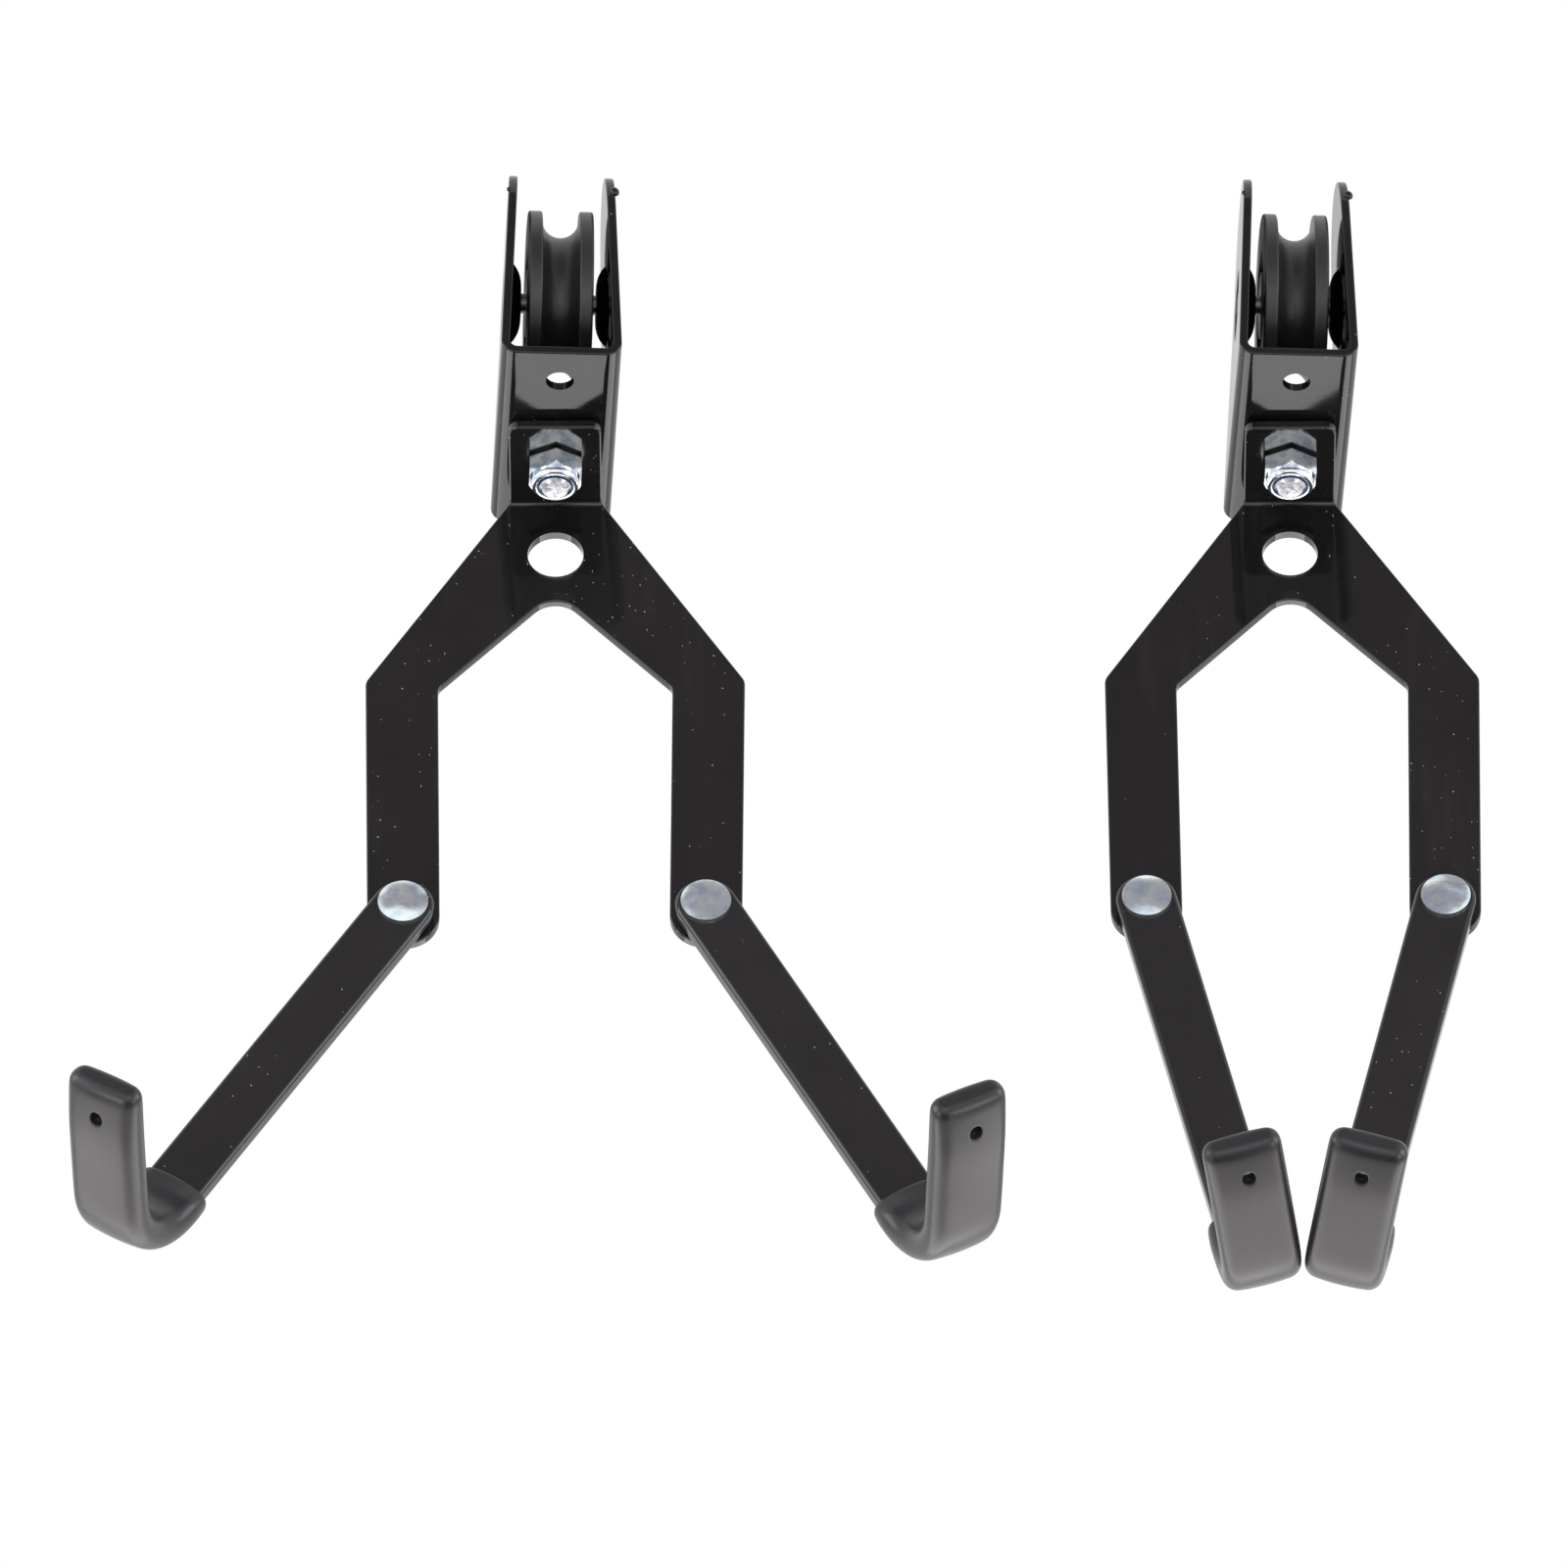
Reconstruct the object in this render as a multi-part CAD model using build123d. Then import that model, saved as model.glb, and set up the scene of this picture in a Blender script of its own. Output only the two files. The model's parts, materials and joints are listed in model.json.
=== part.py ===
from build123d import *
import math
import os

# A pair of bicycle hoist hooks: each unit is a rope pulley in a bent bracket, a forked plate that
# swivels below it on a bolt, and two riveted arms that end in coated hooks.
# Millimetres, +Z up, +X to the right of someone who faces the hooks, hooks open towards -Y.
# The origin is the centre of the handlebar unit's pulley.

# Where the saddle unit's pulley hangs, seen from the handlebar unit's
saddle_aside = 185.3
saddle_behind = 75.1
saddle_above = 58.1

# Pulley wheel and the bush in its bore
wheel_diameter = 46.6
wheel_width = 16.2
groove_width = 9.2
groove_depth = 6.7
bush_diameter = 9.0
hub_diameter = 17.0
recess_depth = 2.2
recess_wall = 2.6
wheel_edge_round = 0.6

# Pulley axle, a rivet whose heads lie sunk in the dimples
axle_diameter = 5.0
axle_head_diameter = 8.6
axle_head_height = 2.0
axle_head_round = 1.0
wheel_side_gap = 1.3

# Pulley bracket, a U of sheet steel
bracket_sheet = 2.2
bracket_bend_radius = 1.9
ear_lean = 2.0
dimple_depth = 2.4
dimple_diameter = 20.5
dimple_seat_diameter = 9.0
dimple_round = 0.8
rope_gap = 8.6
front_reach = 23.5
ear_above_axle = 31.9
ear_top_radius = 19.0
web_length = 69.0
rear_wall_height = 8.0
bolt_setback = 16.5
rope_hole_diameter = 7.0
rope_hole_setback = 11.3
edge_round = 0.45

# Swivel bolt, washers and locking nut
bolt_diameter = 8.0
hex_across_flats = 13.0
hex_chamfer = 0.8
bolt_head_height = 5.3
bolt_end_chamfer = 0.8
head_washer_diameter = 16.0
head_washer_thickness = 1.6
swivel_washer_diameter = 18.0
swivel_washer_thickness = 1.0
nut_hex_height = 5.6
nut_collar_height = 2.0
nut_collar_diameter = 12.2
nut_collar_round = 1.2
ring_diameter = 9.2
ring_height = 1.8
ring_recess = 0.3
bolt_stand_out = 1.0

# Hook plate: a tab bent forward on top, a fork with two legs below
plate_sheet = 2.5
plate_bend_radius = 1.4
tab_width = 23.0
tab_front_reach = 14.5
tab_corner_round = 3.0
neck_round = 3.0
plate_setback = 16.0
plate_hole_diameter = 14.0
plate_hole_drop = 19.0
shoulder_half_width = 47.3
shoulder_drop = 58.9
shoulder_round = 4.0
arch_drop = 30.5
arch_round = 7.0
inner_corner_half_width = 29.2
inner_corner_drop = 61.2
inner_corner_round = 3.0
pivot_half_spacing = 37.5
pivot_drop = 132.0
leg_width = 18.0

# Pivot rivets and the washers behind the plate
rivet_diameter = 6.0
rivet_head_diameter = 12.5
rivet_head_edge = 0.8
rivet_head_height = 1.6
pivot_washer_diameter = 12.0
pivot_washer_thickness = 1.2
rivet_tail_diameter = 9.0
rivet_tail_height = 1.6
rivet_tail_round = 0.7

# Hook arms, flat bar
arm_width = 15.2
arm_thickness = 5.0
arm_edge_round = 1.2
bend_start = 107.0
bend_radius = 19.6
hook_rise = 6.5
hook_toe_out = 6.0
hook_leg_length = 36.5

# Coating over each hook
sleeve_start = 101.5
lip_coat = 0.95
side_coat = 2.4
face_coat = 1.95
sleeve_corner_round = 3.8
lip_corner_round = 2.1
tip_coat = 3.0
tip_round = 3.0
vent_diameter = 3.4
vent_setback = 9.5

# Stance: how far the brackets stand turned on their swivels, seen from above, and how far the
# handlebar arms lean outward from hanging straight down, in degrees
bracket_turn = 2.8
left_spread = 33.0
right_spread = 28.8
folded_gap = 0.6

# Clearances, all radial
running_fit = 0.06
fixed_fit = 0.02
hole_clearance = 0.3

axle_height = wheel_diameter / 2 + rope_gap + bracket_sheet
web_z = -axle_height
tab_top = -swivel_washer_thickness
tab_under = tab_top - plate_sheet
plate_front = plate_setback
plate_back = plate_setback + plate_sheet
nut_end = tab_under - nut_hex_height - nut_collar_height
sleeve_width = arm_width + 2 * side_coat
sleeve_thickness = arm_thickness + 2 * face_coat
bend_angle = 90 + hook_rise
rear_reach = web_length - front_reach
lean_slope = math.tan(math.radians(ear_lean))
ear_wall = bracket_sheet / math.cos(math.radians(ear_lean))
dimple_floor = wheel_width / 2 + wheel_side_gap
axle_seat = dimple_floor + bracket_sheet
ear_outer_at_axle = axle_seat + dimple_depth
bracket_half = ear_outer_at_axle + axle_height * lean_slope


def round_corners(sketch, points, radius):
    """Rounds the corners of a flat outline that lie nearest to the given points."""
    corners = [sketch.vertices().sort_by_distance((x, y, 0))[0] for x, y in points]
    return fillet(corners, radius)


def along_x(sketch, start, end):
    """Solid from an outline drawn in Y and Z, between two places on X."""
    return extrude(Plane.YZ.offset(start) * sketch, amount=end - start)


def along_y(sketch, start, end):
    """Solid from an outline drawn in X and Z, between two places on Y."""
    return extrude(Plane.XZ.offset(-end) * sketch, amount=end - start)


def along_z(sketch, low, high):
    """Solid from an outline drawn in X and Y, between two heights."""
    return extrude(Plane.XY.offset(low) * sketch, amount=high - low)


def ring(outer_radius, inner_radius):
    return Circle(outer_radius) - Circle(inner_radius)


def dimple_plug(hand, seat, end, radius):
    """Plug about the X axis with a flat seat, whose side swells out to its end in an arc."""
    turn = math.acos(1 - (end - seat) / radius)
    points = []
    for angle in (0, turn / 2, turn):
        reach = seat + radius * (1 - math.cos(angle))
        points.append((hand * reach, dimple_seat_diameter / 2 + radius * math.sin(angle)))
    rest = Polyline(points[-1], (hand * end, 0), (hand * seat, 0), points[0])
    return revolve(make_face([ThreePointArc(*points), rest]), Axis.X)


def hexagon(low, high, chamfered_ends):
    """Hexagon prism on the Z axis, one corner to the front, its corners taken off at the given ends."""
    across_corners = hex_across_flats / math.cos(math.radians(30))
    blank = along_z(Circle(across_corners / 2), low, high)
    rims = blank.edges().filter_by(GeomType.CIRCLE).sort_by(Axis.Z)
    blank = chamfer([rims[end] for end in chamfered_ends], hex_chamfer)
    outline = Rot(0, 0, 30) * RegularPolygon(hex_across_flats / 2, 6, major_radius=False)
    return along_z(outline, low, high) & blank


# Pulley bracket: a U with leaning ears, cut to the ears' side outline, with a pressed dimple each side
def pulley_bracket():
    ear_top = ear_above_axle
    inner_floor = web_z + bracket_sheet
    outer_top = bracket_half - (axle_height + ear_top) * lean_slope
    inner_half = bracket_half - ear_wall - bracket_sheet * lean_slope
    outer_corners = [(-bracket_half, web_z), (bracket_half, web_z)]
    inner_corners = [(-inner_half, inner_floor), (inner_half, inner_floor)]
    inner_top = outer_top - ear_wall
    outer = make_face(Polyline(*outer_corners, (outer_top, ear_top), (-outer_top, ear_top), close=True))
    inner = make_face(Polyline(*inner_corners, (inner_top, ear_top), (-inner_top, ear_top), close=True))
    outer = round_corners(outer, outer_corners, bracket_bend_radius + bracket_sheet)
    inner = round_corners(inner, inner_corners, bracket_bend_radius)
    channel = along_y(outer - inner, -front_reach, rear_reach)

    crown_z = ear_top - ear_top_radius
    crown_middle = ear_top_radius - front_reach
    crown_rear = crown_middle + ear_top_radius
    rear_corner = (rear_reach, web_z + rear_wall_height)
    crown = ThreePointArc((-front_reach, crown_z), (crown_middle, ear_top), (crown_rear, crown_z))
    rest = Polyline(
        (crown_rear, crown_z),
        rear_corner,
        (rear_reach, web_z),
        (-front_reach, web_z),
        (-front_reach, crown_z),
    )
    side = round_corners(make_face([crown, rest]), [rear_corner], rear_wall_height / 2)
    shell = channel & along_x(side, -bracket_half, bracket_half)
    shell = fillet(shell.edges(), edge_round)

    mouth = ear_outer_at_axle + bracket_sheet
    sheet_middle = ear_outer_at_axle - bracket_sheet / 2
    swell = (dimple_diameter - dimple_seat_diameter) / 2
    boss_radius = (dimple_depth**2 + swell**2) / (2 * dimple_depth)
    for hand in (-1, 1):
        boss = dimple_plug(hand, dimple_floor, sheet_middle, boss_radius)
        pocket = dimple_plug(hand, axle_seat, mouth, boss_radius - bracket_sheet)
        shell = shell + boss - pocket
    rim_length = math.pi * (dimple_diameter + dimple_seat_diameter) / 2
    dimple_rims = []
    for edge in shell.edges():
        middle = edge.center(CenterOf.BOUNDING_BOX)
        if math.hypot(middle.Y, middle.Z) < dimple_round and edge.length > rim_length:
            dimple_rims.append(edge)
    shell = fillet(dimple_rims, dimple_round)
    shell -= along_x(Circle(axle_diameter / 2 + fixed_fit), -mouth, mouth)
    rope_hole = Pos(0, rope_hole_setback - front_reach) * Circle(rope_hole_diameter / 2)
    bolt_hole = Pos(0, bolt_setback) * Circle(bolt_diameter / 2 + hole_clearance)
    return shell - along_z(rope_hole + bolt_hole, web_z - bracket_sheet, inner_floor + bracket_sheet)


# Rope sheave, turned about X, with a round-bottomed groove and recessed sides
def pulley_wheel():
    half = wheel_width / 2
    rim = wheel_diameter / 2
    lip = groove_width / 2
    groove_floor = rim - groove_depth
    groove_wall_end = groove_floor + lip
    bore = bush_diameter / 2 + fixed_fit
    hub = hub_diameter / 2
    rim_inside = groove_floor - recess_wall
    left_side = [
        (-half, bore),
        (-half, hub),
        (-half + recess_depth, hub),
        (-half + recess_depth, rim_inside),
        (-half, rim_inside),
        (-half, rim),
        (-lip, rim),
        (-lip, groove_wall_end),
    ]
    right_side = [(-x, radius) for x, radius in reversed(left_side)]
    groove = ThreePointArc((-lip, groove_wall_end), (0, groove_floor), (lip, groove_wall_end))
    bore_line = Line(right_side[-1], left_side[0])
    section = make_face([Polyline(*left_side), groove, Polyline(*right_side), bore_line])
    section = round_corners(section, [(x, rim) for x in (-half, -lip, lip, half)], wheel_edge_round)
    return revolve(section, Axis.X)


def wheel_bush():
    tube = ring(bush_diameter / 2, axle_diameter / 2 + running_fit)
    return along_x(tube, -wheel_width / 2, wheel_width / 2)


# Rivet axle with a rounded head in each dimple
def pulley_axle():
    end = axle_seat + axle_head_height
    pin = along_x(Circle(axle_diameter / 2), -axle_seat, axle_seat)
    for start, stop, outside in ((-end, -axle_seat, 0), (axle_seat, end, -1)):
        head = along_x(Circle(axle_head_diameter / 2), start, stop)
        pin += fillet(head.edges().group_by(Axis.X)[outside], axle_head_round)
    return pin


# Swivel hardware: drawn on the swivel axis, with the underside of the bracket's web at Z = 0
def swivel_bolt():
    washer_top = bracket_sheet + head_washer_thickness
    shank = along_z(Circle(bolt_diameter / 2), nut_end - bolt_stand_out, washer_top)
    shank = chamfer(shank.edges().group_by(Axis.Z)[0], bolt_end_chamfer)
    return shank + hexagon(washer_top, washer_top + bolt_head_height, (-1,))


def bolt_head_washer():
    flat = ring(head_washer_diameter / 2, bolt_diameter / 2 + hole_clearance)
    return along_z(flat, bracket_sheet, bracket_sheet + head_washer_thickness)


def swivel_washer():
    return along_z(ring(swivel_washer_diameter / 2, bolt_diameter / 2 + hole_clearance), tab_top, 0)


def swivel_nut():
    collar = along_z(Circle(nut_collar_diameter / 2), nut_end, tab_under)
    collar = fillet(collar.edges().group_by(Axis.Z)[0], nut_collar_round)
    body = hexagon(tab_under - nut_hex_height, tab_under, (0, -1)) + collar
    body -= along_z(Circle(bolt_diameter / 2 + fixed_fit), nut_end, tab_under)
    return body - along_z(Circle(ring_diameter / 2 + fixed_fit), nut_end, nut_end + ring_recess + ring_height)


def nut_ring():
    low = nut_end + ring_recess
    return along_z(ring(ring_diameter / 2, bolt_diameter / 2 + fixed_fit), low, low + ring_height)


# Forked plate: a sheet bent to an L, cut to the fork's outline, with its bolt hole on the swivel axis
def hook_plate():
    half_tab = tab_width / 2
    leg_half = leg_width / 2
    neck = (half_tab, tab_under)
    shoulder = (shoulder_half_width, tab_top - shoulder_drop)
    inner_corner = (inner_corner_half_width, tab_top - inner_corner_drop)
    arch = (0, tab_top - arch_drop)
    pivot_z = tab_top - pivot_drop
    leg_end = pivot_z - leg_half
    right_side = [
        (half_tab, tab_top),
        neck,
        shoulder,
        (pivot_half_spacing + leg_half, pivot_z),
        (pivot_half_spacing - leg_half, pivot_z),
        inner_corner,
    ]
    left_side = [(-x, z) for x, z in reversed(right_side)]
    fork = make_face(Polyline(*right_side, arch, *left_side, close=True))
    rounds = ((neck, neck_round), (shoulder, shoulder_round), (inner_corner, inner_corner_round))
    for (x, z), radius in rounds:
        fork = round_corners(fork, [(-x, z), (x, z)], radius)
    fork = round_corners(fork, [arch], arch_round)
    holes = Pos(0, tab_top - plate_hole_drop) * Circle(plate_hole_diameter / 2)
    for hand in (-1, 1):
        pivot = Pos(hand * pivot_half_spacing, pivot_z)
        fork += pivot * Circle(leg_half)
        holes += pivot * Circle(rivet_diameter / 2 + fixed_fit)

    bent = make_face(
        Polyline(
            (-tab_front_reach, tab_top),
            (plate_back, tab_top),
            (plate_back, leg_end),
            (plate_front, leg_end),
            (plate_front, tab_under),
            (-tab_front_reach, tab_under),
            close=True,
        )
    )
    bent = round_corners(bent, [(plate_front, tab_under)], plate_bend_radius)
    bent = round_corners(bent, [(plate_back, tab_top)], plate_bend_radius + plate_sheet)
    sheet = along_x(bent, -shoulder_half_width, shoulder_half_width)
    plate = sheet & along_y(fork, -tab_front_reach, plate_back)
    plate = fillet(plate.edges().filter_by(Axis.Z).group_by(Axis.Y)[0], tab_corner_round)
    plate = fillet(plate.edges(), edge_round)
    plate -= along_z(Circle(bolt_diameter / 2 + running_fit), 2 * tab_under, 0)
    return plate - along_y(holes, 0, 2 * plate_back)


# Pivot rivet, turned about Y: drawn with the pivot axis at X = Z = 0 and the bar's middle at Y = 0
def pivot_rivet():
    arm_front = -arm_thickness / 2
    seat = arm_thickness / 2 + plate_sheet + pivot_washer_thickness
    shank = rivet_diameter / 2
    head = rivet_head_diameter / 2
    tail = rivet_tail_diameter / 2
    crown = arm_front - rivet_head_height
    rim = arm_front - rivet_head_edge
    halfway = crown + (rim - crown) / 4
    dome = ThreePointArc((0, crown), (head / 2, halfway), (head, rim))
    rest = Polyline(
        (head, rim),
        (head, arm_front),
        (shank, arm_front),
        (shank, seat),
        (tail, seat),
        (tail, seat + rivet_tail_height),
        (0, seat + rivet_tail_height),
        (0, crown),
    )
    section = round_corners(make_face([dome, rest]), [(tail, seat + rivet_tail_height)], rivet_tail_round)
    return revolve(section, Axis.Y)


def pivot_washer():
    plate_rear = arm_thickness / 2 + plate_sheet
    flat = ring(pivot_washer_diameter / 2, rivet_diameter / 2 + fixed_fit)
    return along_y(flat, plate_rear, plate_rear + pivot_washer_thickness)


def hook_end():
    """Plane square to the hook where its bend ends and its straight leg begins."""
    angle = math.radians(bend_angle)
    ahead = (0, -math.sin(angle), -math.cos(angle))
    end_y = bend_radius * (math.cos(angle) - 1)
    end_z = -bend_start - bend_radius * math.sin(angle)
    return Plane((0, end_y, end_z), x_dir=(1, 0, 0), z_dir=ahead)


def hook_shape(section, leg):
    """Sweeps a section round the bend and along the hook's leg."""
    start = Plane((0, 0, -bend_start), x_dir=(1, 0, 0), z_dir=(0, 0, -1)) * section
    bend = revolve(start, Axis((0, -bend_radius, -bend_start), (-1, 0, 0)), bend_angle)
    return bend + extrude(hook_end() * section, amount=leg)


def twisted_run(start_section, end_section, toe_out):
    """Short length above the bend that turns a section by the toe-out."""
    top = Plane.XY.offset(-sleeve_start) * start_section
    bottom = Plane.XY.offset(-bend_start) * (toe_out * end_section)
    return loft([bottom, top], ruled=True)


# Hook arm: drawn with its pivot at the origin, hanging down, the bar's middle at Y = 0
def hook_arm(toe_out):
    half = arm_width / 2
    outline = Pos(0, -sleeve_start / 2) * Rectangle(arm_width, sleeve_start) + Circle(half)
    bar = along_y(outline, -arm_thickness / 2, arm_thickness / 2)
    faces = bar.faces().filter_by(Axis.Y)
    rims = [edge for face in faces for edge in face.edges() if edge.center().Z > -sleeve_start + half / 2]
    bar = fillet(rims, arm_edge_round)
    section = RectangleRounded(arm_width, arm_thickness, arm_edge_round)
    bar += twisted_run(section, section, toe_out)
    bar += toe_out * hook_shape(section, hook_leg_length)
    return bar - along_y(Circle(rivet_diameter / 2 + running_fit), -arm_thickness, arm_thickness)


# Dipped coating: thin where it starts on the bar, full round the hook, closed over the tip
def hook_sleeve(toe_out, bar):
    lip = RectangleRounded(arm_width + 2 * lip_coat, arm_thickness + 2 * lip_coat, lip_corner_round)
    full = RectangleRounded(sleeve_width, sleeve_thickness, sleeve_corner_round)
    leg = hook_leg_length + tip_coat
    skin = hook_shape(full, leg)
    end = hook_end()
    tip_face = skin.faces().sort_by(lambda face: face.center().dot(end.z_dir))[-1]
    skin = fillet(tip_face.edges(), tip_round)
    vent_start = end.offset(leg - vent_setback)
    vent_plane = Plane(vent_start.origin, x_dir=(1, 0, 0), z_dir=-vent_start.y_dir)
    vent = extrude(vent_plane * Circle(vent_diameter / 2), amount=sleeve_thickness)
    return toe_out * (skin - vent) + twisted_run(lip, full, toe_out) - bar


def inward_reach(lean):
    """How far a hook reaches towards the other one when its arm leans inward by this angle."""
    corner_w = sleeve_width / 2 - sleeve_corner_round
    corner_t = sleeve_thickness / 2 - sleeve_corner_round
    toe = math.radians(hook_toe_out)
    reaches = []
    for step in range(101):
        turn = math.radians(bend_angle * step / 100)
        down = bend_start + (bend_radius + corner_t) * math.sin(turn)
        forward = bend_radius - (bend_radius + corner_t) * math.cos(turn)
        sideways = corner_w * math.cos(toe) - forward * math.sin(toe)
        reaches.append(down * math.sin(lean) + sideways * math.cos(lean))
    return max(reaches) + sleeve_corner_round


def folded_lean():
    """Inward lean, in degrees, at which the two hooks of a unit all but touch."""
    room = pivot_half_spacing - folded_gap / 2
    low, high = 0.0, math.pi / 2
    for _ in range(50):
        middle = (low + high) / 2
        low, high = (low, middle) if inward_reach(middle) > room else (middle, high)
    return math.degrees(low)


def hook_unit(spreads):
    """The pieces of one unit, with its pulley centre at the origin."""
    turned = Rot(0, 0, bracket_turn)
    swivel = turned * Pos(0, bolt_setback, web_z)
    square = Pos(swivel.position)
    pieces = {
        "pulley_bracket": turned * pulley_bracket(),
        "pulley_wheel": turned * pulley_wheel(),
        "wheel_bush": turned * wheel_bush(),
        "pulley_axle": turned * pulley_axle(),
        "swivel_bolt": swivel * swivel_bolt(),
        "bolt_head_washer": swivel * bolt_head_washer(),
        "swivel_washer": swivel * swivel_washer(),
        "swivel_nut": swivel * swivel_nut(),
        "nut_ring": swivel * nut_ring(),
        "hook_plate": square * hook_plate(),
    }
    for (name, side), spread in zip((("left", -1), ("right", 1)), spreads):
        bar_middle = plate_front - arm_thickness / 2
        pivot = square * Pos(side * pivot_half_spacing, bar_middle, tab_top - pivot_drop)
        hang = pivot * Rot(0, -side * spread, 0)
        toe_out = Rot(0, 0, side * hook_toe_out)
        arm = hook_arm(toe_out)
        pieces[f"{name}_pivot_rivet"] = pivot * pivot_rivet()
        pieces[f"{name}_pivot_washer"] = pivot * pivot_washer()
        pieces[f"{name}_hook_arm"] = hang * arm
        pieces[f"{name}_hook_sleeve"] = hang * hook_sleeve(toe_out, arm)
    return pieces


folded = -folded_lean()
pair = {
    "handlebar": (Pos(0, 0, 0), hook_unit((left_spread, right_spread))),
    "saddle": (Pos(saddle_aside, saddle_behind, saddle_above), hook_unit((folded, folded))),
}
os.makedirs("parts", exist_ok=True)
for unit_name, (place, pieces) in pair.items():
    for piece_name, piece in pieces.items():
        export_step(place * piece, f"parts/{unit_name}_{piece_name}.step")
print(f"folded arms lean inward {-folded:.3f} degrees")
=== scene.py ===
import json
import math

import bmesh
import bpy
from mathutils import Matrix, Vector


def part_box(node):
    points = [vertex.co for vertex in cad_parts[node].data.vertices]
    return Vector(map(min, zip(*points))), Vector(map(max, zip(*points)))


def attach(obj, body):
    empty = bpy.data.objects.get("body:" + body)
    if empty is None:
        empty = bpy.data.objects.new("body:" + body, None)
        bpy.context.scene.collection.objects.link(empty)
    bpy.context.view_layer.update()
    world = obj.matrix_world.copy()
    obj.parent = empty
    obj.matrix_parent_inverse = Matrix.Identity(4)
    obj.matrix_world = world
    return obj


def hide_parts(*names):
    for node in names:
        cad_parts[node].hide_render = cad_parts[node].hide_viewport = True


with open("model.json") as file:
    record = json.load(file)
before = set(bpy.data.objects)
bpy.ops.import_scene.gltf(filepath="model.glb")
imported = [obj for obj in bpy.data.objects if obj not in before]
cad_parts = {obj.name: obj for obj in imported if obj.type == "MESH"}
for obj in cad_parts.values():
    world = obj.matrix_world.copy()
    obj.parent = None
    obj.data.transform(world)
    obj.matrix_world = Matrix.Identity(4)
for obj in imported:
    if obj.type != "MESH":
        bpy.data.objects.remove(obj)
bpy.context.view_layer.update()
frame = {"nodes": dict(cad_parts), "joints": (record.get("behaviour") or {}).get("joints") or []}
bpy.ops.object.select_all(action="DESELECT")
scene = bpy.context.scene
scene.view_settings.view_transform = "Standard"

# Camera. The units hang overhead and are seen from well below and in front, through a long lens, so that
# the upright plates are foreshortened and the undersides of the brackets and the hooks show.
MM = 0.001
joint_place = {joint["name"]: Vector(joint["pos_m"]) for joint in frame["joints"]}
look_up = math.radians(37.5)
lens_roll = math.radians(0.2)
picture_pixels = 1600
focal_pixels = 30000
camera_distance = 7.35
nut_pixel = (566.5, 472.7)
tab_sheet = 2.5 * MM
ahead = Vector((0, math.cos(look_up), math.sin(look_up)))
level = Vector((1, 0, 0))
square_up = level.cross(ahead)
across = level * math.cos(lens_roll) - square_up * math.sin(lens_roll)
upward = across.cross(ahead)
nut_seat = joint_place["handlebar_plate_swivel"] - Vector((0, 0, tab_sheet))
per_pixel = camera_distance / focal_pixels
nut_right, nut_down = [(pixel - picture_pixels / 2) * per_pixel for pixel in nut_pixel]
picture_centre = nut_seat - across * nut_right + upward * nut_down
camera_data = bpy.data.cameras.new("camera")
camera_data.sensor_width = 36
camera_data.lens = focal_pixels / picture_pixels * camera_data.sensor_width
camera_data.clip_end = 200
camera = bpy.data.objects.new("camera", camera_data)
scene.collection.objects.link(camera)
facing = Matrix((across, upward, -ahead)).transposed().to_4x4()
camera.matrix_world = Matrix.Translation(picture_centre - ahead * camera_distance) @ facing
scene.camera = camera

# Studio. White all round, with soft boxes and lower ones at both sides for the lines along coated edges, a
# light table below and behind that the undersides mirror, and a faint glow in front. A dim card in front and
# above and a nearly black one underneath keep the coat black.


def new_tree(owner):
    """Empties a material's or world's node tree and gives its own add and link calls."""
    owner.use_nodes = True
    tree = owner.node_tree
    tree.nodes.clear()

    def add(kind, operation=None, numbered=None, **named):
        node = tree.nodes.new("ShaderNode" + kind)
        if operation:
            node.operation = operation
        for index, value in (numbered or {}).items():
            node.inputs[index].default_value = value
        for name, value in named.items():
            node.inputs[name.replace("_", " ")].default_value = value
        return node

    return add, tree.links.new


def lit_or_seen(add, link, lit, seen):
    """One shader as a light, and another as what the camera, gloss and clear things see."""
    rays = add("LightPath")
    direct = add("Math", "MAXIMUM")
    sight = add("Math", "MAXIMUM")
    choose = add("MixShader")
    link(rays.outputs["Is Camera Ray"], direct.inputs[0])
    link(rays.outputs["Is Glossy Ray"], direct.inputs[1])
    link(direct.outputs[0], sight.inputs[0])
    link(rays.outputs["Is Transmission Ray"], sight.inputs[1])
    link(sight.outputs[0], choose.inputs["Fac"])
    link(lit.outputs[0], choose.inputs[1])
    link(seen.outputs[0], choose.inputs[2])
    return choose.outputs[0]


world = bpy.data.worlds.new("studio")
scene.world = world
add, link = new_tree(world)
fill = add("Background", Color=(1, 1, 1, 1), Strength=0.26)
white = add("Background", Color=(1, 1, 1, 1), Strength=1.0)
link(lit_or_seen(add, link, fill, white), add("OutputWorld").inputs["Surface"])

# Each lamp has its place, its width and height in metres, its watts and its colour.
middle = Vector((0.1, 0.05, -0.12))
lamps = {
    "soft_box_left": ((-1.25, -0.45, -0.05), (1.0, 0.8), 8.0, (0.88, 0.94, 1)),
    "soft_box_right": ((1.45, -0.45, -0.05), (1.0, 0.8), 8.0, (0.88, 0.94, 1)),
    "low_box_left": ((-0.95, -0.55, -0.95), (0.5, 0.5), 2.4, (1, 1, 1)),
    "low_box_right": ((1.15, -0.55, -0.95), (0.5, 0.5), 2.4, (1, 1, 1)),
    "light_table": ((0.1, 1.41, -1.09), (4.5, 1.32), 41.0, (1, 0.955, 0.975)),
    "front_glow": ((0.1, -1.55, -0.75), (1.2, 0.25), 2.4, (0.82, 0.9, 1)),
}
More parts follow.
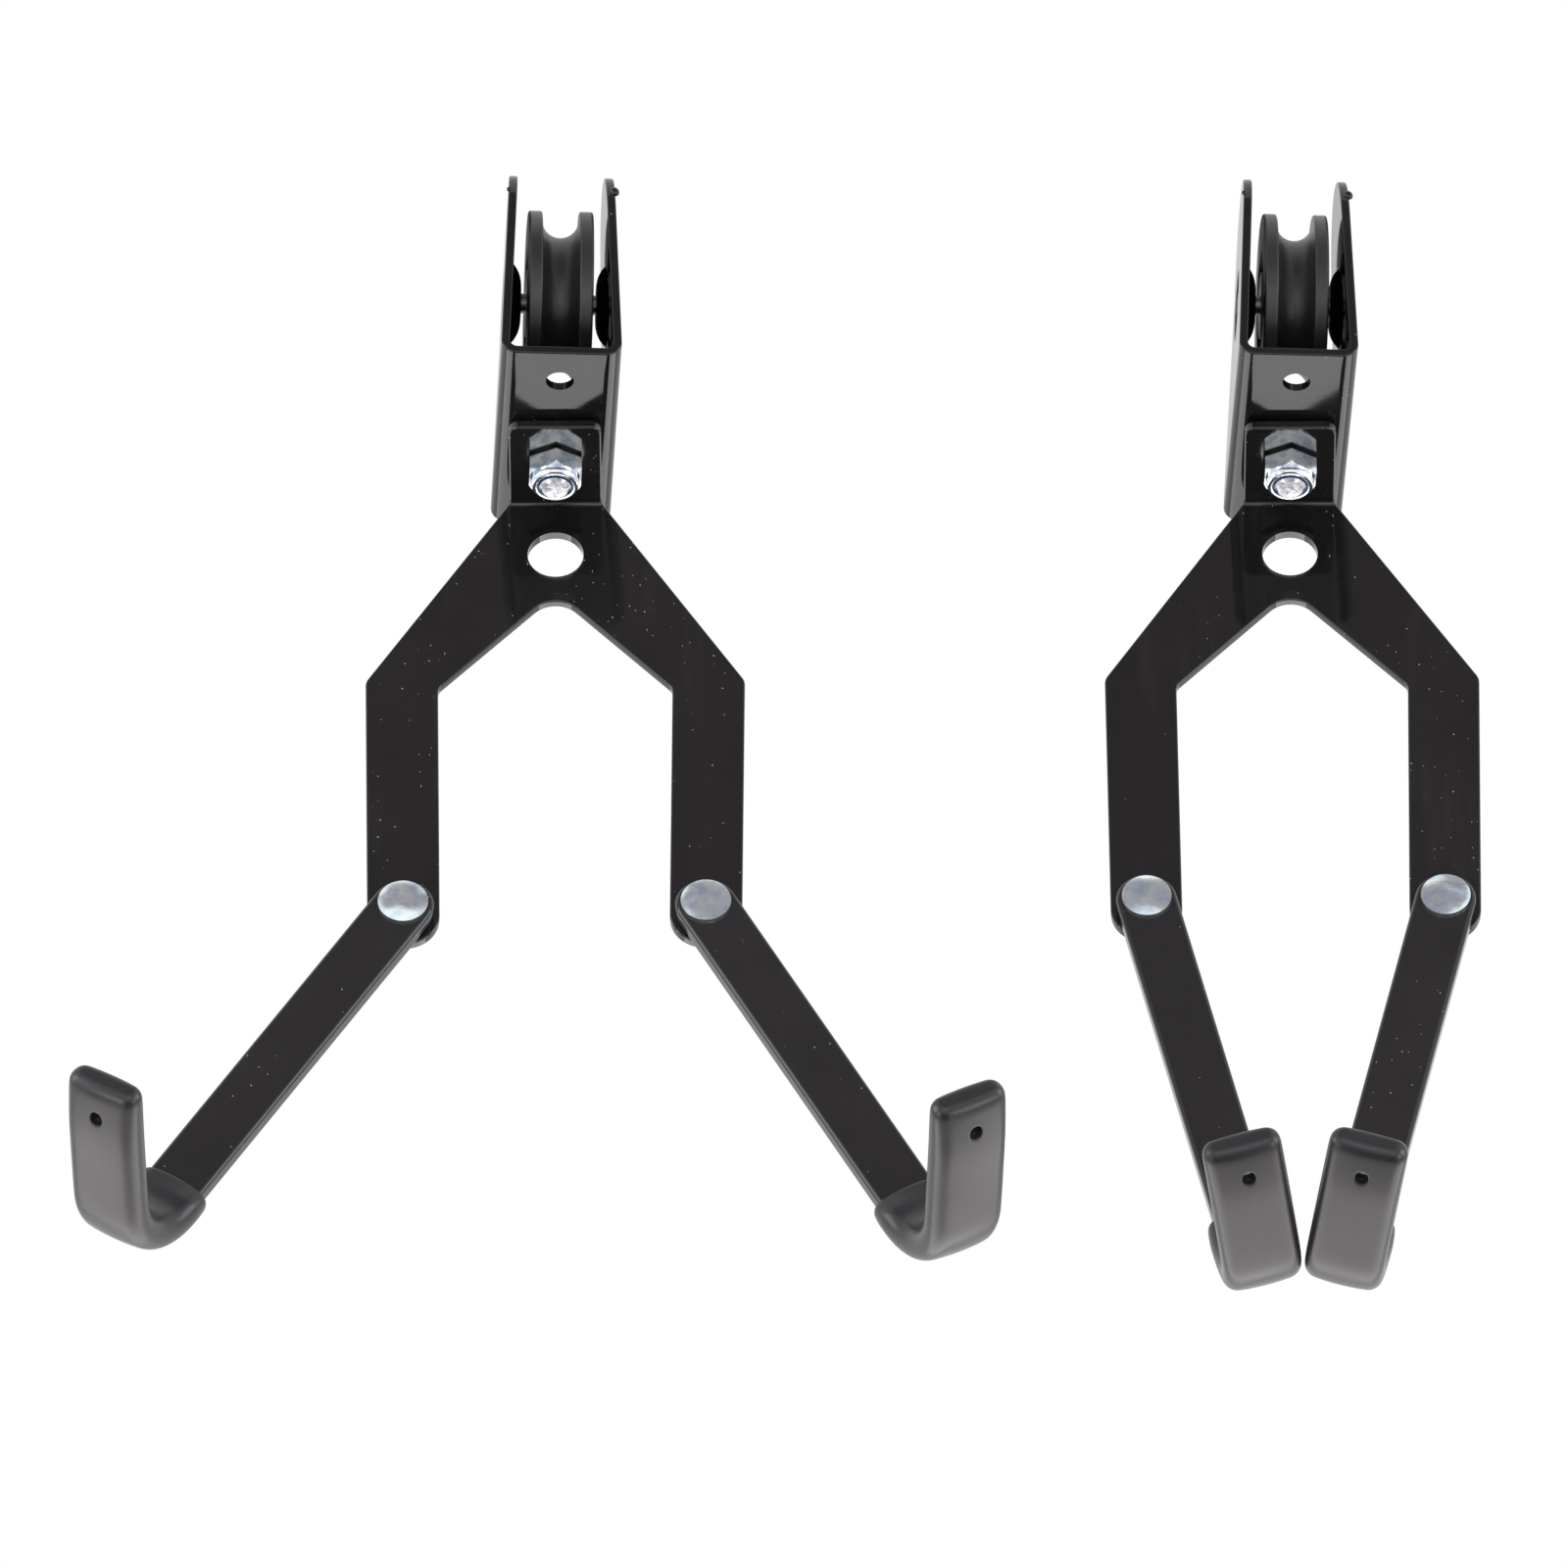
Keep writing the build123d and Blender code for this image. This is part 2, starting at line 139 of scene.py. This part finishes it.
for name, (place, (wide, tall), watts, colour) in lamps.items():
    glow = bpy.data.lights.new(name, "AREA")
    glow.shape = "RECTANGLE"
    glow.size = wide
    glow.size_y = tall
    glow.energy = watts
    glow.color = colour
    lamp = bpy.data.objects.new(name, glow)
    scene.collection.objects.link(lamp)
    lamp.location = place
    lamp.rotation_euler = (middle - Vector(place)).to_track_quat("-Z", "Y").to_euler()
    lamp.visible_camera = False

card_away = 1.4
under_tilt = math.radians(14)
in_front = Vector((0, -math.cos(look_up), math.sin(look_up)))
underneath = Vector((0, -math.sin(under_tilt), -math.cos(under_tilt)))
cards = {
    "dim_card": (in_front, 1.3, (0.335, 0.310, 0.335, 1)),
    "under_card": (underneath, 1.2, (0.1, 0.1, 0.11, 1)),
}
for name, (toward, width, grey) in cards.items():
    bpy.ops.mesh.primitive_plane_add(size=width, location=middle + toward * card_away)
    card = bpy.context.object
    card.name = name
    card.rotation_euler = toward.to_track_quat("Z", "Y").to_euler()
    card.visible_camera = False
    card.visible_diffuse = False
    card_paint = bpy.data.materials.new(name)
    add, link = new_tree(card_paint)
    link(add("Emission", Color=grey).outputs[0], add("OutputMaterial").inputs["Surface"])
    card.data.materials.append(card_paint)

floor_size = 60
floor_height = -12
bpy.ops.mesh.primitive_plane_add(size=floor_size, location=(0, 0, floor_height))
floor = bpy.context.object
floor.name = "floor"
floor_white = bpy.data.materials.new("floor_white")
add, link = new_tree(floor_white)
matt = add("BsdfDiffuse", Color=(0.9, 0.9, 0.9, 1))
bright = add("Emission", Color=(1, 1, 1, 1))
link(lit_or_seen(add, link, matt, bright), add("OutputMaterial").inputs["Surface"])
floor.data.materials.append(floor_white)

# Pulley brackets. Sheet steel bent to a U with a dimple pressed into each ear, in gloss black powder coat
# that has settled with a slight orange peel and has picked up dust, short fibres and a few smears. A bead
# of coat has run together on the rim of each ear, near the top.
UNITS = ("handlebar", "saddle")


def dress(name, material):
    """Gives a solid of the frame its finish."""
    slots = frame["nodes"][name].data.materials
    slots.clear()
    slots.append(material)


def blend(add, **colours):
    """Adds a mix of the colours A and B. One that isn't given is linked later."""
    mix = add("Mix")
    mix.data_type = "RGBA"
    for socket, colour in colours.items():
        mix.inputs[socket].default_value = (*colour, 1)
    return mix


def powder_coat(name, speck_share, ior, film=0.0, lean=0.0):
    """Gloss black coat with dust specks in patches, at most this share of the possible ones, under a thin
    film of dust, on sheet that is bent this much out of square from front to back."""
    least_speck = 0.045
    speck_spread = 0.095
    fibre_width = 0.04
    bare_share = 0.72
    coat = bpy.data.materials.new(name)
    add, link = new_tree(coat)
    place = add("TexCoord").outputs["Object"]
    peel = add("TexNoise", Scale=430.0, Detail=2.0, Roughness=0.45)
    pores = add("TexNoise", Scale=2100.0, Detail=2.0, Roughness=0.5)
    smudge = add("TexNoise", Scale=34.0, Detail=5.0, Roughness=0.6)
    drawn = add("Mapping", Scale=(1, 1, 0.12))
    smear = add("TexNoise", Scale=150.0, Detail=4.0, Roughness=0.65)
    smear_amount = add("MapRange", From_Min=0.55, From_Max=0.8, To_Min=0.0, To_Max=0.5)
    scatter = add("Mapping", Rotation=(0.5, 0.3, 0.9))
    dust = add("TexVoronoi", Scale=700.0)
    dust_split = add("SeparateColor")
    dust_size = add("Math", "MULTIPLY_ADD", {1: speck_spread, 2: least_speck})
    dust_near = add("Math", "LESS_THAN")
    dust_kept = add("Math", "LESS_THAN")
    patchy = add("MapRange", From_Min=0.42, From_Max=0.62, To_Min=0.1 * speck_share, To_Max=speck_share)
    dust_mask = add("Math", "MULTIPLY")
    stretch = add("Mapping", Rotation=(0.7, 0.4, 1.1), Scale=(5, 5, 1))
    fibre = add("TexVoronoi", Scale=95.0)
    fibre_split = add("SeparateColor")
    fibre_near = add("Math", "LESS_THAN", {1: fibre_width})
    fibre_kept = add("Math", "GREATER_THAN", {1: bare_share})
    fibre_mask = add("Math", "MULTIPLY")
    lint = add("Math", "MAXIMUM")
    tint = add("MapRange", From_Min=0.3, From_Max=0.75, To_Min=0.0, To_Max=1.0)
    veil = Vector((1, 0.92, 0.93)) * film
    deep = Vector((0.0075, 0.0062, 0.0064)) + veil
    worn = Vector((0.0180, 0.0155, 0.0158)) + veil
    black = blend(add, A=deep, B=worn)
    smeared = blend(add, B=(0.040, 0.036, 0.035))
    soiled = blend(add, B=(0.62, 0.60, 0.60))
    gloss = add("MapRange", From_Min=0.3, From_Max=0.75, To_Min=0.035, To_Max=0.12)
    dull = add("Math", "MULTIPLY_ADD", {1: 0.4})
    depth = add("SeparateXYZ")
    slope = add("Math", "MULTIPLY", {1: math.tan(lean)})
    out_of_square = add("Bump", Strength=1.0, Distance=1.0)
    ripple = add("Bump", Strength=0.010, Distance=0.0004)
    pitted = add("Bump", Strength=0.006, Distance=0.0001)
    grit = add("Bump", Strength=0.25, Distance=0.0001)
    shader = add("BsdfPrincipled", IOR=ior)
    for texture in (peel, pores, smudge, drawn, scatter, stretch, depth):
        link(place, texture.inputs["Vector"])
    link(drawn.outputs[0], smear.inputs["Vector"])
    link(scatter.outputs[0], dust.inputs["Vector"])
    link(stretch.outputs[0], fibre.inputs["Vector"])
    link(dust.outputs["Color"], dust_split.inputs["Color"])
    link(fibre.outputs["Color"], fibre_split.inputs["Color"])
    link(dust_split.outputs["Green"], dust_size.inputs[0])
    link(dust.outputs["Distance"], dust_near.inputs[0])
    link(dust_size.outputs[0], dust_near.inputs[1])
    link(dust_split.outputs["Red"], dust_kept.inputs[0])
    link(smudge.outputs["Fac"], patchy.inputs["Value"])
    link(patchy.outputs[0], dust_kept.inputs[1])
    link(dust_near.outputs[0], dust_mask.inputs[0])
    link(dust_kept.outputs[0], dust_mask.inputs[1])
    link(fibre.outputs["Distance"], fibre_near.inputs[0])
    link(fibre_split.outputs["Red"], fibre_kept.inputs[0])
    link(fibre_near.outputs[0], fibre_mask.inputs[0])
    link(fibre_kept.outputs[0], fibre_mask.inputs[1])
    link(dust_mask.outputs[0], lint.inputs[0])
    link(fibre_mask.outputs[0], lint.inputs[1])
    link(smudge.outputs["Fac"], tint.inputs["Value"])
    link(tint.outputs[0], black.inputs["Factor"])
    link(smear.outputs["Fac"], smear_amount.inputs["Value"])
    link(smear_amount.outputs[0], smeared.inputs["Factor"])
    link(black.outputs["Result"], smeared.inputs["A"])
    link(smeared.outputs["Result"], soiled.inputs["A"])
    link(lint.outputs[0], soiled.inputs["Factor"])
    link(soiled.outputs["Result"], shader.inputs["Base Color"])
    link(smudge.outputs["Fac"], gloss.inputs["Value"])
    link(lint.outputs[0], dull.inputs[0])
    link(gloss.outputs[0], dull.inputs[2])
    link(dull.outputs[0], shader.inputs["Roughness"])
    link(depth.outputs["Y"], slope.inputs[0])
    link(slope.outputs[0], out_of_square.inputs["Height"])
    link(out_of_square.outputs[0], ripple.inputs["Normal"])
    link(peel.outputs["Fac"], ripple.inputs["Height"])
    link(ripple.outputs[0], pitted.inputs["Normal"])
    link(pores.outputs["Fac"], pitted.inputs["Height"])
    link(pitted.outputs[0], grit.inputs["Normal"])
    link(lint.outputs[0], grit.inputs["Height"])
    link(grit.outputs[0], shader.inputs["Normal"])
    link(shader.outputs[0], add("OutputMaterial").inputs["Surface"])
    return coat


web_lean = math.radians(4.5)
bracket_coat = powder_coat("bracket_powder_coat", speck_share=0.3, ior=1.46, lean=web_lean)
for unit in UNITS:
    dress(f"{unit}_pulley_bracket", bracket_coat)

bracket_turn = math.radians(2.8)
sideways = Vector((math.cos(bracket_turn), math.sin(bracket_turn), 0))
backward = Vector((-math.sin(bracket_turn), math.cos(bracket_turn), 0))
rim_half = 13.2 * MM
rim_ahead = 22.7 * MM
rim_rise = 18.4 * MM
bead_stretch = (1, 0.9, 1.2)
bead_lean = math.radians(35)
for unit in UNITS:
    for side, hand, radius in (("left", -1, 0.6 * MM), ("right", 1, 1.1 * MM)):
        rim = joint_place[f"{unit}_wheel_spin"] - backward * rim_ahead + Vector((0, 0, rim_rise))
        bpy.ops.mesh.primitive_uv_sphere_add(segments=32, ring_count=16, radius=radius,
                                             location=rim + sideways * hand * rim_half)
        bead = bpy.context.object
        bead.name = f"{unit}_{side}_coat_bead"
        bead.scale = bead_stretch
        bead.rotation_euler = (0, -hand * bead_lean, bracket_turn)
        bpy.ops.object.transform_apply()
        bpy.ops.object.shade_smooth()
        bead.data.materials.append(bracket_coat)
        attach(bead, "brackets")

# Pulley wheels and bushes. Turned black nylon sheaves with a satin groove, each pressed on an oiled bronze
# bush that runs on the axle.


def satin_plastic(name, colour, roughness, grain, ior):
    """Moulded plastic: fine grain, slow changes of sheen and a little colour variation."""
    plastic = bpy.data.materials.new(name)
    add, link = new_tree(plastic)
    place = add("TexCoord").outputs["Object"]
    fine = add("TexNoise", Scale=grain, Detail=4.0, Roughness=0.65)
    slow = add("TexNoise", Scale=55.0, Detail=3.0)
    tone = blend(add, A=Vector(colour) * 0.85, B=Vector(colour) * 1.15)
    sheen = add("MapRange", From_Min=0.3, From_Max=0.7, To_Min=roughness - 0.05, To_Max=roughness + 0.07)
    pebble = add("Bump", Strength=0.05, Distance=0.0002)
    shader = add("BsdfPrincipled", IOR=ior)
    link(place, fine.inputs["Vector"])
    link(place, slow.inputs["Vector"])
    link(slow.outputs["Fac"], tone.inputs["Factor"])
    link(tone.outputs["Result"], shader.inputs["Base Color"])
    link(slow.outputs["Fac"], sheen.inputs["Value"])
    link(sheen.outputs[0], shader.inputs["Roughness"])
    link(fine.outputs["Fac"], pebble.inputs["Height"])
    link(pebble.outputs[0], shader.inputs["Normal"])
    link(shader.outputs[0], add("OutputMaterial").inputs["Surface"])
    return plastic


def worn_metal(name, pale, dark, smooth, rough, mottle, dent_depth=0.0, painted_shade_top=None):
    """Plated or bare metal: patches of two tones, uneven gloss, fine drawn scratches and, where they are
    asked for, broad shallow dents and painted shade: a dark band over the last millimetre below a height."""
    metal = bpy.data.materials.new(name)
    add, link = new_tree(metal)
    place = add("TexCoord").outputs["Object"]
    patch = add("TexNoise", Scale=mottle, Detail=6.0, Roughness=0.6)
    stretch = add("Mapping", Rotation=(0.3, 0.9, 0.5), Scale=(1, 14, 14))
    scratch = add("TexNoise", Scale=240.0, Detail=3.0, Roughness=0.6)
    tone = blend(add, A=pale, B=dark)
    spread = add("MapRange", From_Min=0.42, From_Max=0.66, To_Min=0.0, To_Max=1.0)
    gloss = add("MapRange", From_Min=0.3, From_Max=0.7, To_Min=smooth, To_Max=rough)
    wave = add("TexNoise", Scale=105.0, Detail=0.5)
    dent = add("Bump", Strength=1.0, Distance=dent_depth)
    line = add("Bump", Strength=0.12, Distance=0.0001)
    shader = add("BsdfPrincipled", Metallic=1.0)
    for texture in (patch, stretch, wave):
        link(place, texture.inputs["Vector"])
    link(stretch.outputs[0], scratch.inputs["Vector"])
    link(patch.outputs["Fac"], spread.inputs["Value"])
    link(spread.outputs[0], tone.inputs["Factor"])
    link(tone.outputs["Result"], shader.inputs["Base Color"])
    link(scratch.outputs["Fac"], gloss.inputs["Value"])
    link(gloss.outputs[0], shader.inputs["Roughness"])
    link(wave.outputs["Fac"], dent.inputs["Height"])
    link(dent.outputs[0], line.inputs["Normal"])
    link(scratch.outputs["Fac"], line.inputs["Height"])
    link(line.outputs[0], shader.inputs["Normal"])
    # Painted shade: the colour goes dark over the last millimetre below the given height, in place of the
    # shadow where this part meets another.
    if painted_shade_top is not None:
        height = add("SeparateXYZ")
        reach = add("MapRange", From_Min=painted_shade_top - 1.3 * MM, From_Max=painted_shade_top - 0.8 * MM)
        painted_shade_band = blend(add, B=(0.03, 0.03, 0.034))
        link(place, height.inputs["Vector"])
        link(height.outputs["Z"], reach.inputs["Value"])
        link(reach.outputs[0], painted_shade_band.inputs["Factor"])
        link(tone.outputs["Result"], painted_shade_band.inputs["A"])
        link(painted_shade_band.outputs["Result"], shader.inputs["Base Color"])
    link(shader.outputs[0], add("OutputMaterial").inputs["Surface"])
    return metal


black_nylon = satin_plastic("black_nylon", (0.030, 0.0285, 0.0292), roughness=0.38, grain=1500.0, ior=1.53)
bush_bronze = worn_metal("bush_bronze", pale=(0.50, 0.34, 0.17), dark=(0.30, 0.19, 0.09),
                         smooth=0.3, rough=0.5, mottle=300.0)
for unit in UNITS:
    dress(f"{unit}_pulley_wheel", black_nylon)
    dress(f"{unit}_wheel_bush", bush_bronze)

# Pulley axles. Steel rivets with a thin dull plating, whose shanks run in the bushes and whose ends are upset
# in the brackets' dimples.
dull_steel = worn_metal("dull_steel", pale=(0.30, 0.31, 0.32), dark=(0.16, 0.17, 0.17),
                        smooth=0.32, rough=0.5, mottle=520.0)
for unit in UNITS:
    dress(f"{unit}_pulley_axle", dull_steel)

# Swivel hardware. A zinc plated bolt, washer and locking nut, bright and slightly blue with the darker
# patches that plating keeps from the barrel, and a dark band of painted shade along the nut's top where it
# meets the tab, with a black nylon washer between bracket and plate and a blue nylon ring crimped into the
# nut.
bright_zinc = {
    "pale": (0.94, 0.97, 1.0),
    "dark": (0.44, 0.53, 0.66),
    "smooth": 0.07,
    "rough": 0.20,
    "mottle": 340.0,
}
washer_zinc = worn_metal("zinc_plate", **bright_zinc)
cut_zinc = worn_metal("cut_zinc", pale=(0.66, 0.67, 0.69), dark=(0.20, 0.21, 0.23),
                      smooth=0.2, rough=0.4, mottle=900.0)
blue_nylon = satin_plastic("blue_nylon", (0.01, 0.09, 0.30), roughness=0.35, grain=1500.0, ior=1.53)
for unit in UNITS:
    nut_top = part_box(f"{unit}_swivel_nut")[1].z
    # The nut's zinc is painted dark just under its top, as shade where it sits against the tab.
    nut_zinc = worn_metal(f"{unit}_nut_zinc", **bright_zinc, painted_shade_top=nut_top)
    dress(f"{unit}_swivel_nut", nut_zinc)
    dress(f"{unit}_swivel_bolt", cut_zinc)
    dress(f"{unit}_bolt_head_washer", washer_zinc)
    dress(f"{unit}_swivel_washer", black_nylon)
    dress(f"{unit}_nut_ring", blue_nylon)

# Hook plates. Flat steel forks bent over at the top to a tab for the bolt, in the same kind of coat as the
# brackets, a little glossier.
plate_coat = powder_coat("plate_powder_coat", speck_share=0.45, ior=1.56)
for unit in UNITS:
    dress(f"{unit}_hook_plate", plate_coat)

# Pivot rivets and their washers. Broad zinc plated heads in front of the arms, left slightly uneven by the
# tool that set them, with tails set on washers behind the plates.
SIDES = ("left", "right")
rivet_zinc = worn_metal("rivet_zinc", pale=(0.92, 1.0, 1.0), dark=(0.66, 0.79, 0.93),
                        smooth=0.12, rough=0.26, mottle=300.0, dent_depth=1.9 * MM)
for unit in UNITS:
    for side in SIDES:
        dress(f"{unit}_{side}_pivot_rivet", rivet_zinc)
        dress(f"{unit}_{side}_pivot_washer", rivet_zinc)

# Hook arms. Flat steel bar, round at the pivot and bent forward to a hook, riveted to the plates, in the same
# kind of coat under a thin film of dust.
dusty_coat = powder_coat("dusty_powder_coat", speck_share=0.30, ior=1.46, film=0.0190)
for unit in UNITS:
    for side in SIDES:
        dress(f"{unit}_{side}_hook_arm", dusty_coat)

# Hook sleeves. Each hook is dipped in soft grey vinyl, thin where it starts on the bar, thick round the bend
# and closed over a tip that tapers, with a small vent hole underneath where it hung on a wire while it set.
bar_width = 15.2 * MM
bar_thickness = 5.0 * MM
dip_start = 101.5 * MM
bend_start = 107.0 * MM
bend_radius = 19.6 * MM
bend_angle = math.radians(96.5)
leg_length = 39.5 * MM
toe_out = math.radians(6)
dip_width = 20.0 * MM
dip_thickness = 8.9 * MM
dip_corner = 3.8 * MM
crown = 1.06
lip_length = 2.0 * MM
lip_arch = 0.35 * MM
tip_round = 3.2 * MM
taper_run = 17.0 * MM
taper = 1.6 * MM
taper_curve = 1.4
vent_from_tip = 9.5 * MM
vent_patch = 4.8 * MM
vent_rim = 0.2 * MM
vent_depth = 2.7 * MM
skin = 1.9 * MM
arm_leans = {
    "handlebar": {"left": math.radians(33.0), "right": math.radians(28.8)},
    "saddle": {"left": math.radians(-13.151), "right": math.radians(-13.151)},
}


def pick(kind, test):
    """In edit mode, selects the vertices, edges or faces that pass the test, and nothing else."""
    bpy.ops.mesh.select_all(action="DESELECT")
    bpy.ops.mesh.select_mode(type=kind)
    mesh = bmesh.from_edit_mesh(bpy.context.object.data)
    parts = {"VERT": mesh.verts, "EDGE": mesh.edges, "FACE": mesh.faces}[kind]
    for part in parts:
        part.select_set(test(part))
    mesh.select_flush_mode()
    bmesh.update_edit_mesh(bpy.context.object.data)


def finish_with(piece, kind, **settings):
    """Adds a modifier to a piece and applies it."""
    modifier = piece.modifiers.new(kind.lower(), kind)
    for name, value in settings.items():
        setattr(modifier, name, value)
    bpy.ops.object.modifier_apply(modifier=modifier.name)


def within_one(share):
    """Keeps a share between nought and one."""
    return min(max(share, 0), 1)


def dipped_sleeve():
    """The right-hand sleeve about its arm's pivot, with the arm hanging straight down."""
    start = Vector((0, 0, -dip_start))
    bpy.ops.mesh.primitive_plane_add(size=1, location=start)
    sleeve = bpy.context.object
    sleeve.scale = (dip_width, dip_thickness, 1)
    bpy.ops.object.transform_apply()
    bpy.ops.object.mode_set(mode="EDIT")
    bpy.ops.mesh.bevel(offset=dip_corner, segments=4, affect="VERTICES")
    bpy.ops.mesh.delete(type="ONLY_FACE")
    pick("EDGE", lambda edge: edge.calc_length() > dip_width / 3)
    bpy.ops.mesh.subdivide(number_cuts=2)
    pick("VERT", lambda corner: abs(corner.co.x) < dip_width / 4)
    bpy.ops.transform.resize(value=(1, crown, 1), center_override=start)
    bpy.ops.mesh.select_all(action="SELECT")
    wide = bar_width / dip_width
    thick = bar_thickness / dip_thickness
    bpy.ops.transform.resize(value=(wide, thick, 1), center_override=start)

    # The lip's rings: how far down the bar, the shares of full width and thickness, and how far back.
    rings = (
        (0.25 * MM, 0.90, 0.79, 0.35 * MM),
        (1.3 * MM, 0.955, 0.86, 0.45 * MM),
        (bend_start - dip_start, 1, 1, 0),
    )
    down, back = 0, 0
    for ring_down, ring_wide, ring_thick, ring_back in rings:
        step = (0, ring_back - back, down - ring_down)
        bpy.ops.mesh.extrude_region_move(TRANSFORM_OT_translate={"value": step})
        growth = (ring_wide / wide, ring_thick / thick, 1)
        bpy.ops.transform.resize(value=growth, center_override=start + Vector((0, ring_back, -ring_down)))
        down, wide, thick, back = ring_down, ring_wide, ring_thick, ring_back

    bend_centre = Vector((0, -bend_radius, -bend_start))
    bpy.ops.mesh.spin(steps=10, angle=bend_angle, center=bend_centre, axis=(1, 0, 0))
    forward = Vector((0, -math.sin(bend_angle), -math.cos(bend_angle)))
    outward = Vector((0, math.cos(bend_angle), -math.sin(bend_angle)))
    before_vent = leg_length - vent_from_tip - vent_patch / 2
    for run in (before_vent, vent_patch, leg_length - before_vent - vent_patch):
        bpy.ops.mesh.extrude_region_move(TRANSFORM_OT_translate={"value": forward * run})
    bpy.ops.mesh.edge_face_add()
    bpy.ops.mesh.bevel(offset=tip_round, segments=4, affect="EDGES")

    leg_start = bend_centre + outward * bend_radius
    vent = leg_start + forward * (leg_length - vent_from_tip) + outward * dip_thickness / 2
    pick("FACE", lambda face: (face.calc_center_median() - vent).length < vent_patch / 4)
    bpy.ops.mesh.inset(thickness=vent_rim, depth=0)
    for sink in (0.3 * vent_depth, 0.7 * vent_depth):
        bpy.ops.mesh.extrude_region_move(TRANSFORM_OT_translate={"value": -outward * sink})

    lip_end = -dip_start - lip_length
    pick("VERT", lambda corner: corner.co.z > lip_end and abs(corner.co.x) < dip_width / 4)
    bpy.ops.transform.translate(value=(0, 0, lip_arch))
    bpy.ops.mesh.select_all(action="SELECT")
    bpy.ops.mesh.normals_make_consistent(inside=False)
    bpy.ops.object.mode_set(mode="OBJECT")
    finish_with(sleeve, "SUBSURF", levels=2, render_levels=2)
    for corner in sleeve.data.vertices:
        from_leg = corner.co - leg_start
        to_tip = within_one(1 - (leg_length - from_leg.dot(forward)) / taper_run)
        to_outside = within_one(from_leg.dot(outward) / dip_thickness + 0.5)
        corner.co -= outward * taper * to_tip ** taper_curve * to_outside
        to_bend = within_one((-corner.co.z - dip_start) / (bend_start - dip_start))
        corner.co = Matrix.Rotation(toe_out * to_bend, 3, "Z") @ corner.co
    finish_with(sleeve, "SOLIDIFY", thickness=skin, offset=-1)
    bpy.ops.object.shade_smooth()
    return sleeve


grey_dip = satin_plastic("grey_dip", (0.041, 0.0370, 0.0400), roughness=0.28, grain=1900.0, ior=1.46)
pattern = dipped_sleeve()
pattern.data.materials.append(grey_dip)
for unit in UNITS:
    for side, hand in zip(SIDES, (-1, 1)):
        sleeve = pattern.copy()
        sleeve.data = pattern.data.copy()
        sleeve.name = f"{unit}_{side}_dipped_sleeve"
        scene.collection.objects.link(sleeve)
        pivot = Matrix.Translation(joint_place[f"{unit}_{side}_arm_swing"])
        lean = Matrix.Rotation(-hand * arm_leans[unit][side], 4, "Y")
        mirrored = Matrix.Diagonal((hand, 1, 1, 1))
        sleeve.data.transform(pivot @ lean @ mirrored)
        if hand < 0:
            sleeve.data.flip_normals()
        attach(sleeve, f"{unit}_{side}_arm")
        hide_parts(f"{unit}_{side}_hook_sleeve")
bpy.data.objects.remove(pattern)
